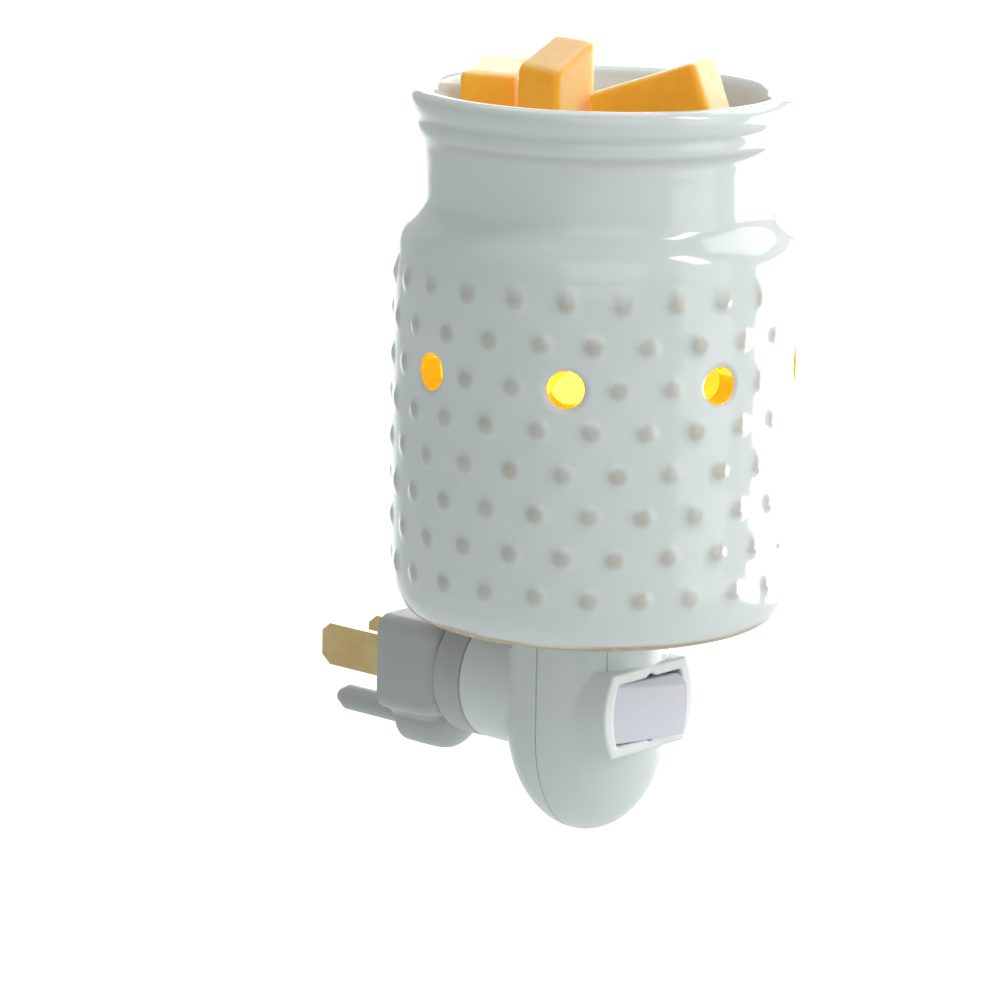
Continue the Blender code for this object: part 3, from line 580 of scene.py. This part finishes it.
def pattern_at(angles, height, bumps, holes):
    """How far the side stands out along one ring, and how much the glaze breaks there."""
    reach = np.zeros(len(angles))
    mark = np.zeros(len(angles))
    for angle, level in bumps:
        if abs(level - height) > 4:
            continue
        along = wrapped(angles - angle) * SIDE_RADIUS
        distance = np.hypot(along, height - level)
        reach = np.maximum(reach, BUMP_HEIGHT * np.exp(-(distance / 1.75) ** 2.6))
        bare_top = 0.9 + 0.1 * math.sin(37 * angle + 5 * level)
        mark = np.maximum(mark, bare_top / (1 + np.exp((distance - BUMP_CORE) / 0.19)))
    for angle, level in holes:
        if abs(level - height) > 7:
            continue
        along = wrapped(angles - angle) * SIDE_RADIUS
        distance = np.hypot(along, height - level)
        lip = np.clip((4.3 - distance) / 1.2, 0, 1)
        reach = np.where(distance < 4.3, reach * (1 - lip) - 0.55 * lip ** 2, reach)
        mark = np.maximum(mark, 0.55 * np.clip((4.1 - distance) / 0.8, 0, 1))
    return reach, mark * 0.9


def edge_wear_and_groove_shade(radius, height):
    """The glaze breaks on the lip's edge. The buff lines in the groove under the lip and below the
    bead are partly glaze break and partly painted shade.
    """
    lip = 0.10 * math.exp(-((height - 93.9) / 0.5) ** 2) if radius > 30 else 0
    # painted shade: buff lines in the groove under the lip and below the bead
    groove = 0.45 * math.exp(-((height - 89.2) / 0.5) ** 2) if radius > 30.5 else 0
    bead = 0.75 * math.exp(-((height - 85.6) / 0.55) ** 2) if radius > 30.3 else 0
    return max(lip, groove, bead)


def unglazed(radius, height, angles):
    """1 on the wiped foot ring and the underside, 0 on the glaze. The wiped edge wavers."""
    if height > WIPED_HEIGHT or radius > WIPED_RADIUS:
        return np.zeros(len(angles))
    if radius > 29:
        edge = 1.9 + 0.3 * np.sin(3 * angles + 1) + 0.2 * np.sin(7 * angles)
        return np.clip((edge - height) / 0.4, 0, 1)
    return np.ones(len(angles))


def hole_glow(point, holes):
    """1 on the wall of a light hole, painted to glow as if the lamp shone through the ceramic, and
    0 elsewhere.
    """
    height = (point.z - FOOT_Z) / MM
    if abs(height - holes[0][1]) > HOLE_RADIUS + 0.1:
        return 0.0
    across, back = (point.x - AXIS.x) / MM, (AXIS.y - point.y) / MM
    angle = math.atan2(across, back)
    nearest = min(holes, key=lambda hole: abs(wrapped(angle - hole[0])))
    side = math.hypot(across, back) * math.sin(wrapped(angle - nearest[0]))
    off_wall = abs(math.hypot(side, height - nearest[1]) - HOLE_RADIUS)
    return 1.0 if off_wall < 0.03 else 0.0


def hole_cutter(angle, height):
    """A rod through the jar's axis: it opens two holes that face each other."""
    spin = Matrix.Rotation(angle, 4, "Z") @ Matrix.Rotation(math.pi / 2, 4, "X")
    rod = turned("hole_cutter", rod_outline(HOLE_RADIUS * MM, -50 * MM, 50 * MM), "glaze", 64)
    rod.data.transform(Matrix.Translation((AXIS.x, AXIS.y, FOOT_Z + height * MM)) @ spin)
    return rod


def paint(thing, name, values):
    """Stores one number for each vertex, for the material to read."""
    layer = thing.data.attributes.new(name, "FLOAT", "POINT")
    layer.data.foreach_set("value", np.asarray(values, dtype=np.float32))


# ---------------------------------------------------------------- wax

def make_wax_pieces():
    """Each block keeps its place in the dish and gets soft edges, an uneven skin and painted light
    on its top and right faces.
    """
    for name, seed in (("wax_left", 3), ("wax_middle", 11), ("wax_right", 19)):
        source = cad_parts[name]
        piece = bpy.data.objects.new(f"{name}_melt", source.data.copy())
        bpy.context.collection.objects.link(piece)
        piece.matrix_world = Matrix.Identity(4)
        if name == "wax_middle":
            slope_top(piece, Vector((-1, 0, 0)), 0.4 * MM, 6.0 * MM)
        if name == "wax_left":
            slope_top(piece, Vector((-0.76, -0.65, 0)), 0.1 * MM, 1.7 * MM)
        soften(piece, 0.4 * MM, 5, "wax")
        shape_wax_and_paint_light(piece, seed)
        place(piece, name, "wax", name)


def slope_top(piece, downhill, least, most):
    """A block broken at a slant: its top falls by least at first and by most at the end."""
    points = [vertex.co for vertex in piece.data.vertices]
    places = [point.dot(downhill) for point in points]
    start, end = min(places), max(places)
    middle = (min(point.z for point in points) + max(point.z for point in points)) / 2
    for point, place_along in zip(points, places):
        if point.z > middle:
            share = (place_along - start) / (end - start)
            point.z -= least + (most - least) * share ** 1.3


def shape_wax_and_paint_light(piece, seed):
    offset = Vector((seed * 3.1, seed * 1.7, seed * 0.9))
    mesh = piece.data
    normals = [Vector(n.vector) for n in mesh.vertex_normals]
    for vertex, normal in zip(mesh.vertices, normals):
        swell = (noise.noise(vertex.co * 90 + offset) * 0.22
                 + noise.noise(vertex.co * 420 + offset) * 0.05)
        vertex.co += normal * ((swell - 0.12) * MM)
    mesh.update()
    # painted light: faces turned up or to the right, towards the lamps, are marked to be painted
    # paler
    side = Vector((0.64, -0.77, 0))
    pale = [max(0.6 * np.clip((n.z - 0.5) / 0.4, 0, 1),
                0.85 * np.clip((n.dot(side) - 0.45) / 0.4, 0, 1)) for n in normals]
    paint(piece, "pale", pale)


# ---------------------------------------------------------------- lamp base

def housing_section(radius, bottom, top, steps=28):
    """Half of the housing's upright section: a straight side on a long round bottom."""
    round_z = -5 * MM
    turns = [math.pi / 2 * i / steps for i in range(steps + 1)]
    points = [(radius * math.sin(a), round_z - (round_z - bottom) * math.cos(a)) for a in turns]
    points[0] = (0, bottom)
    return points + [(radius, top), (0, top)]


def bowed_box(half_w, half_h, bow, corner, y, steps=20):
    """A box outline at one depth, with ends that bow out and rounded corners."""
    right = []
    for i in range(steps + 1):
        t = 2 * i / steps - 1
        right.append((half_w - bow * t * t, t * (half_h - corner)))
    end = right[-1][0]
    round_up = [(end - corner + corner * math.cos(a), half_h - corner + corner * math.sin(a))
                for a in (math.pi / 2 * k / 6 for k in range(1, 7))]
    right = [(x, -z) for x, z in reversed(round_up)] + right + round_up
    return [(x, y, z) for x, z in right + [(-x, -z) for x, z in right]]


def housing_inner(name, top):
    section = housing_section(INNER_RADIUS, HOUSING_LOW.z + FLOOR_THICKNESS, top)
    return turned(name, section, "white", 96, AXIS)


def make_housing_front():
    top = HOUSING_HIGH.z
    section = housing_section(FRONT_RADIUS, HOUSING_LOW.z, top)
    front = turned("housing_front_shell", section, "white", 160, AXIS)
    steps = ((BOSS_FRONT, 0.2 * MM), (BOSS_FRONT + 0.2 * MM, 0), (-46 * MM, 0))
    rings = [bowed_box(12.4 * MM - inset, 7.75 * MM - inset, 1.9 * MM, 0.7 * MM, y)
             for y, inset in steps]
    combine(front, skin("boss", rings, "white"), "UNION")
    combine(front, housing_inner("inner", top + 4 * MM), "DIFFERENCE")
    combine(front, window_cutter(), "DIFFERENCE")
    far = 60 * MM
    rear_half = block("rear_half", (-far, AXIS.y - HALF_PARTING_GAP, -far), (far, far, far))
    combine(front, rear_half, "DIFFERENCE")
    soften(front, 0.2 * MM, 7, "white")
    combine(front, upright_bar(-36.5, 14.15 * MM, 0.2 * MM), "DIFFERENCE")
    combine(front, upright_bar(-53.5, 13.9 * MM, 0.35 * MM), "UNION")
    finish_piece(front, "white", 50)
    return place(front, "lamp_base", "housing_plastic", "housing_front")


def upright_bar(azimuth, near, width):
    """A thin upright bar on the housing's side, between the switch frame and the top."""
    far = near + 0.65 * MM
    bar = block("bar", (-width / 2, -far, 7.4 * MM), (width / 2, -near, 14.95 * MM))
    bar.data.transform(Matrix.Translation(AXIS) @ Matrix.Rotation(math.radians(azimuth), 4, "Z"))
    return bar


def window_cutter():
    """The rocker's window, with a small scallop over the pivot and a notch under it."""
    half_h = WINDOW_HALF_H
    rings = [bowed_box(9.75 * MM, half_h, 1.0 * MM, 0.5 * MM, y) for y in (-60 * MM, -52.2 * MM)]
    rings += [bowed_box(9.4 * MM, half_h + 0.02 * MM, 0.3 * MM, 0.3 * MM, y)
              for y in (-52.0 * MM, -46 * MM)]
    cutter = skin("window", rings, "white")
    depth = BOSS_FRONT + 2.0 * MM
    for radius, height in ((1.7 * MM, half_h - 1.05 * MM), (0.8 * MM, 0.35 * MM - half_h)):
        outline = rod_outline(radius, -60 * MM, depth)
        scallop = turned("scallop", outline, "white", 32, (0.4 * MM, 0, height), "Y")
        combine(cutter, scallop, "UNION")
    return cutter


def make_housing_rear():
    top = HOUSING_HIGH.z
    section = housing_section(REAR_RADIUS, HOUSING_LOW.z, top)
    rear = turned("housing_rear_shell", section, "white", 160, AXIS)
    neck_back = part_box("housing_rear")[1][1]
    neck = turned("neck", rod_outline(12 * MM, -36 * MM, neck_back), "white", 128, along="Y")
    combine(rear, neck, "UNION")
    combine(rear, housing_inner("inner", top + 4 * MM), "DIFFERENCE")
    outline = [(0, -40 * MM), (10.4 * MM, -40 * MM), (10.4 * MM, -24.5 * MM),
               (8.8 * MM, -24.5 * MM), (8.8 * MM, -20 * MM), (0, -20 * MM)]
    bore = turned("bore", outline, "white", 96, along="Y")
    combine(rear, bore, "DIFFERENCE")
    far = 60 * MM
    front_half = block("front_half", (-far, -2 * far, -far), (far, AXIS.y + HALF_PARTING_GAP, far))
    combine(rear, front_half, "DIFFERENCE")
    for i in (1, 2, 3):
        centre = centre_of(f"housing_screw_{i}")
        outline = rod_outline(1.8 * MM, AXIS.y + 6.6 * MM, AXIS.y + 20 * MM)
        hole = turned("screw_hole", outline, "white", 32, (centre.x, 0, centre.z), "Y")
        combine(rear, hole, "DIFFERENCE")
    soften(rear, 0.2 * MM, 7, "white")
    return place(rear, "lamp_base", "housing_plastic", "housing_rear")


def make_rocker():
    """A long button with bowed ends. Its upper edge is cut back more and more towards the right."""
    half_h = 5.4 * MM
    half_w = 9.15 * MM
    rings = []
    for z in np.linspace(-half_h, half_h, 41):
        bow = 1 - 0.075 * (z / half_h) ** 2
        ring = []
        for t in np.linspace(-1, 1, 25):
            share = (t + 1) / 2
            cut = (0.25 + 1.45 * share) * MM
            back = max(0.0, (z - half_h + cut) / cut) * (0.25 + 2.1 * share)
            ring.append((half_w * t * bow, (-3.35 + 0.20 * t * t + back) * MM, z))
        back = [(half_w - 0.6 * MM, -0.4 * MM), (2.4 * MM, 0.9 * MM), (-2.4 * MM, 0.9 * MM),
                (0.6 * MM - half_w, -0.4 * MM)]
        rings.append(ring + [(x * bow, y, z) for x, y in back])
    rocker = skin("rocker_button", rings, "rocker")
    outline = rod_outline(0.55 * MM, -3.9 * MM, -3.28 * MM)
    dimple = turned("dimple", outline, "rocker", 24, along="Y")
    combine(rocker, dimple, "DIFFERENCE")
    soften(rocker, 0.14 * MM, 10, "rocker")
    set_place = Matrix.Translation(ROCKER_PIVOT) @ Matrix.Rotation(ROCKER_SET, 4, "Z")
    rocker.data.transform(set_place @ Matrix.Rotation(ROCKER_ASKEW, 4, "Y"))
    return place(rocker, "switch_rocker", "rocker_plastic", "rocker")


def make_seat():
    """The flange under the jar and the upright collar that centres it."""
    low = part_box("jar_seat")[0]
    outline = [(9.0, 0), (24.5, 0), (24.5, 1.6), (17.2, 1.6), (17.2, 9.2), (15.8, 9.2),
               (15.8, 1.6), (9.0, 1.6)]
    points = [(r * MM, low[2] + h * MM) for r, h in outline]
    points = rounded(points + points[:2], 0.35 * MM, 3)[1:-1]
    seat = turned("jar_seat_ring", points, "white", 128, AXIS, closed=True, smooth_angle=40)
    return place(seat, "lamp_base", "housing_plastic", "jar_seat")


def make_screws():
    """Pan heads with a cross recess."""
    for i in (1, 2, 3):
        name = f"housing_screw_{i}"
        low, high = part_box(name)
        centre = centre_of(name)
        y1 = high[1]
        section = [(0, low[1]), (0.75 * MM, low[1] + 0.6 * MM), (0.75 * MM, y1 - 1.1 * MM),
                   (1.5 * MM, y1 - 1.1 * MM), (1.5 * MM, y1 - 0.5 * MM),
                   (1.2 * MM, y1 - 0.12 * MM), (0.6 * MM, y1), (0, y1)]
        section = rounded(section, 0.15 * MM, 2)
        screw = turned(f"{name}_head", section, "steel", 40, (centre.x, 0, centre.z), "Y")
        for turn in (0, 1):
            a, b = (0.85 * MM, 0.17 * MM) if turn else (0.17 * MM, 0.85 * MM)
            slot = block("recess", (centre.x - a, y1 - 0.55 * MM, centre.z - b),
                         (centre.x + a, y1 + MM, centre.z + b))
            combine(screw, slot, "DIFFERENCE")
        finish_piece(screw, "steel", 30)
        place(screw, "lamp_base", "steel", name)


# ---------------------------------------------------------------- plug

def plug_ring(y, inset, lobe_z, steps=14):
    """The plug's outline at one depth: a rounded block with a round lobe under it."""
    half_w = 11 * MM - inset
    half_h = 9 * MM - inset
    corner = 3 * MM - inset / 2
    lobe = 6 * MM - inset
    points = []
    for sx, sz, start in ((1, 1, 0), (-1, 1, 90), (-1, -1, 180)):
        points += arc(sx * (half_w - corner), sz * (half_h - corner), corner, start, steps)
    rise = math.asin(max(0.0, (lobe_z + half_h) / lobe))
    for i in range(49):
        angle = math.pi + rise + (math.pi - 2 * rise) * i / 48
        points.append((lobe * math.cos(angle), lobe_z + lobe * math.sin(angle)))
    points += arc(half_w - corner, corner - half_h, corner, 270, steps)
    return [(x, y, z) for x, z in points]


def arc(cx, cz, radius, start, steps):
    angles = [math.radians(start + 90 * i / (steps - 1)) for i in range(steps)]
    return [(cx + radius * math.cos(a), cz + radius * math.sin(a)) for a in angles]


def make_plug_body():
    depth = Vector(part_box("plug_body")[0]).y
    profile = curve_through([(depth, 2.2 * MM, -5.0 * MM), (depth + 0.25 * MM, 1.4 * MM, -5.8 * MM),
                             (depth + 0.9 * MM, 0.8 * MM, -6.9 * MM),
                             (depth + 2.2 * MM, 0.45 * MM, -8.6 * MM),
                             (-10 * MM, 0.12 * MM, -10.3 * MM), (-7 * MM, 0.0, -10.8 * MM),
                             (-0.4 * MM, 0.0, -10.8 * MM)], 0.5 * MM)
    profile += [(-0.12 * MM, 0.08 * MM, -10.8 * MM), (0, 0.3 * MM, -10.8 * MM),
                (0, 1.8 * MM, -10.8 * MM), (-7 * MM, 1.8 * MM, -10.8 * MM),
                (-12 * MM, 2.6 * MM, -8 * MM)]
    # the shell's cool white plastic is darkened as painted shade
    body = skin("plug_shell", [plug_ring(*step) for step in profile], "shaded_cool_white")
    bore = turned("bore", rod_outline(7.9 * MM, -16 * MM, -11 * MM), "shaded_cool_white", 96, along="Y")
    combine(body, bore, "DIFFERENCE")
    finish_piece(body, "shaded_cool_white", 40)
    return place(body, "plug", "plug_plastic", "plug_body")


def make_collar():
    """The ring between the plug and the neck, with the spigot that the lamp base turns on. Its
    plastic is darkened as painted shade.
    """
    back, front = -14.8 * MM, -21.0 * MM
    outline = [(0, -11.5 * MM), (7.6 * MM, -11.5 * MM), (7.6 * MM, back), (12 * MM, back),
               (12 * MM, front), (8.4 * MM, front), (8.4 * MM, -24.9 * MM), (7.7 * MM, -24.9 * MM),
               (7.7 * MM, -26.3 * MM), (8.4 * MM, -26.3 * MM), (8.4 * MM, -27.5 * MM),
               (0, -27.5 * MM)]
    collar = turned("swivel_collar_ring", rounded(outline, 0.7 * MM, 5), "shaded_cool_white", 128, along="Y",
                    smooth_angle=40)
    for x in (6.35 * MM, -2.95 * MM):
        slot = block("slot", (x - 0.75 * MM, -30 * MM, -1.6 * MM),
                     (x + 0.75 * MM, -10 * MM, 1.6 * MM))
        combine(collar, slot, "DIFFERENCE")
    finish_piece(collar, "shaded_cool_white", 40)
    return place(collar, "plug", "plug_plastic", "swivel_collar")


# ---------------------------------------------------------------- bulb

def make_bulb_glass():
    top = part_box("bulb_glass")[1][2]
    outer = curve_through([(4.9 * MM, 19.5 * MM), (4.95 * MM, 23 * MM), (6.2 * MM, 28 * MM),
                           (8.2 * MM, 35 * MM), (9.4 * MM, 43 * MM), (9.3 * MM, 49 * MM),
                           (7.7 * MM, 55.2 * MM), (4.6 * MM, 58.9 * MM), (1.8 * MM, 59.9 * MM)],
                          1.0 * MM)
    inner = [(max(r - 0.6 * MM, 0.3 * MM), z - (0.6 * MM if z > 50 * MM else 0)) for r, z in outer]
    outline = [(0, top)] + outer[::-1] + inner + [(0, top - 0.6 * MM)]
    glass = turned("bulb_envelope", outline, "bulb", 64, AXIS, smooth_angle=None)
    return place(glass, "bulb", "bulb_glass", "bulb_glass")


def make_bulb_base():
    """The screw cap, with round ridges."""
    low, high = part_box("bulb_screw_base")
    count = 64
    outer = []
    for i in range(count + 1):
        t = i / count
        radius = 5.85 * MM + 0.16 * MM * math.sin(TAU * 3.4 * t)
        outer.append((radius, low[2] + (high[2] - low[2]) * t))
    inner = [(r - 0.4 * MM, z) for r, z in outer]
    base = turned("bulb_cap", outer + inner[::-1], "brass", 64, AXIS, closed=True, smooth_angle=50)
    return place(base, "bulb", "brass", "bulb_screw_base")


# ---------------------------------------------------------------- carried-over nodes

CARRIED = {
    "brass": ("blade_line", "blade_neutral", "slip_ring_outer", "slip_ring_inner",
              "contact_finger_line", "contact_finger_neutral", "socket_screw_shell",
              "socket_centre_contact", "switch_terminal_1", "switch_terminal_2",
              "contact_seesaw"),
    "steel": ("swivel_retainer", "jar_clip_1", "jar_clip_2", "jar_clip_3", "rocker_spring",
              "bulb_tip_contact", "filament_support_left", "filament_support_right"),
    "holder": ("contact_carrier", "socket_insulator", "rocker_plunger"),
    "black": ("switch_body", "bulb_insulator"),
    "wire": ("wire_line", "wire_switched", "wire_neutral"),
    "shaded_cool_white": ("plug_rear_cover",),
    "bulb": ("bulb_stem",),
    "filament": ("filament",),
}
SOFT_EDGES = {"blade_line": 0.25, "blade_neutral": 0.25, "plug_rear_cover": 0.2,
              "socket_insulator": 0.2}


def finish_carried():
    for finish, names in CARRIED.items():
        for name in names:
            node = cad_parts[name]
            node.data.materials.clear()
            node.data.materials.append(MATERIALS[finish])
            if name in SOFT_EDGES:
                edges = node.modifiers.new("soft edges", "BEVEL")
                edges.width = SOFT_EDGES[name] * MM
                edges.segments = 2
                edges.limit_method = "ANGLE"
                edges.angle_limit = math.radians(40)


# ---------------------------------------------------------------- stage

def make_camera():
    """Stands to the left of the front, a little above, and looks past the body's middle."""
    azimuth = math.radians(CAMERA_AZIMUTH)
    elevation = math.radians(CAMERA_ELEVATION)
    away = Vector((math.sin(azimuth) * math.cos(elevation),
                   -math.cos(azimuth) * math.cos(elevation), math.sin(elevation)))
    middle = Vector((0, -42 * MM, 42 * MM))
    place_at = middle + away * CAMERA_DISTANCE
    right = Vector((math.cos(azimuth), math.sin(azimuth), 0))
    up = away.cross(right)
    aim = middle + right * AIM_RIGHT + up * AIM_UP
    back = (place_at - aim).normalized()
    level = Vector((0, 0, 1)).cross(back).normalized()
    top = back.cross(level)
    roll = math.radians(CAMERA_ROLL)
    x_axis = level * math.cos(roll) + top * math.sin(roll)
    y_axis = top * math.cos(roll) - level * math.sin(roll)
    data = bpy.data.cameras.new("camera")
    data.sensor_width = 36.0
    data.lens = FOCAL_PER_WIDTH * data.sensor_width
    data.clip_start = 0.05
    camera = bpy.data.objects.new("camera", data)
    bpy.context.collection.objects.link(camera)
    turn = Matrix((x_axis, y_axis, back)).transposed().to_4x4()
    camera.matrix_world = Matrix.Translation(place_at) @ turn
    bpy.context.scene.camera = camera


def make_light(name, azimuth, elevation, distance, size, power, colour=(1, 1, 1)):
    """A soft oblong light that looks at LIGHT_TARGET. Azimuth 0 is the front."""
    a, e = math.radians(azimuth), math.radians(elevation)
    away = Vector((math.sin(a) * math.cos(e), -math.cos(a) * math.cos(e), math.sin(e)))
    data = bpy.data.lights.new(name, "AREA")
    data.shape = "RECTANGLE"
    data.size, data.size_y = size
    data.energy = power
    data.color = colour
    light = bpy.data.objects.new(name, data)
    bpy.context.collection.objects.link(light)
    light.location = Vector(LIGHT_TARGET) + away * distance
    light.rotation_euler = away.to_track_quat("Z", "Y").to_euler()


def make_stage():
    """A pale floor that curves up into a backdrop far behind the object."""
    floor_z = HOUSING_LOW.z - 1.0
    radius, reach, height = 2.0, 9.0, 14.0
    section = [(-9.0, floor_z)]
    for i in range(13):
        angle = math.pi / 2 * i / 12
        section.append((reach + radius * math.sin(angle), floor_z + radius * (1 - math.cos(angle))))
    section.append((reach + radius, floor_z + height))
    azimuth = math.radians(CAMERA_AZIMUTH)
    forward = Vector((-math.sin(azimuth), math.cos(azimuth), 0))
    across = Vector((math.cos(azimuth), math.sin(azimuth), 0))
    verts, faces = [], []
    for side in (-12, 12):
        verts += [tuple(forward * d + across * side + Vector((0, 0, z))) for d, z in section]
    n = len(section)
    for i in range(n - 1):
        faces.append((i, i + 1, n + i + 1, n + i))
    mesh = bpy.data.meshes.new("backdrop")
    mesh.from_pydata(verts, [], faces)
    mesh.materials.append(MATERIALS["floor"])
    mesh.shade_smooth()
    floor = bpy.data.objects.new("backdrop", mesh)
    bpy.context.collection.objects.link(floor)


def make_world():
    world = bpy.data.worlds.new("studio")
    bpy.context.scene.world = world
    world.use_nodes = True
    background = world.node_tree.nodes["Background"]
    background.inputs["Color"].default_value = (0.92, 0.97, 1.0, 1)
    background.inputs["Strength"].default_value = 0.38
    bpy.context.scene.view_settings.view_transform = "Standard"


def make_lights():
    make_light("window", 78, -8, 0.95, (1.0, 0.5), 6.0, DAYLIGHT)
    make_light("high_window", 82, 40, 1.1, (0.9, 0.7), 3.8, DAYLIGHT)
    make_light("back_window", 128, 15, 1.3, (0.9, 0.5), 2.0, DAYLIGHT)
    make_light("front_window", 18, 44, 1.3, (0.22, 0.6), 4.0, (1.0, 1.0, 0.99))
    make_light("overhead", 150, 70, 1.4, (1.0, 1.0), 4, (0.98, 0.99, 1.0))
    make_light("room_right", 15, 8, 1.3, (0.8, 1.2), 3.2)
    make_light("room_front", -45, 25, 1.4, (1.2, 1.2), 3.2)


# ---------------------------------------------------------------- build

make_jar()
make_wax_pieces()
make_housing_front()
make_housing_rear()
make_rocker()
make_seat()
make_screws()
make_plug_body()
make_collar()
make_bulb_glass()
make_bulb_base()
finish_carried()
make_camera()
make_stage()
make_world()
make_lights()
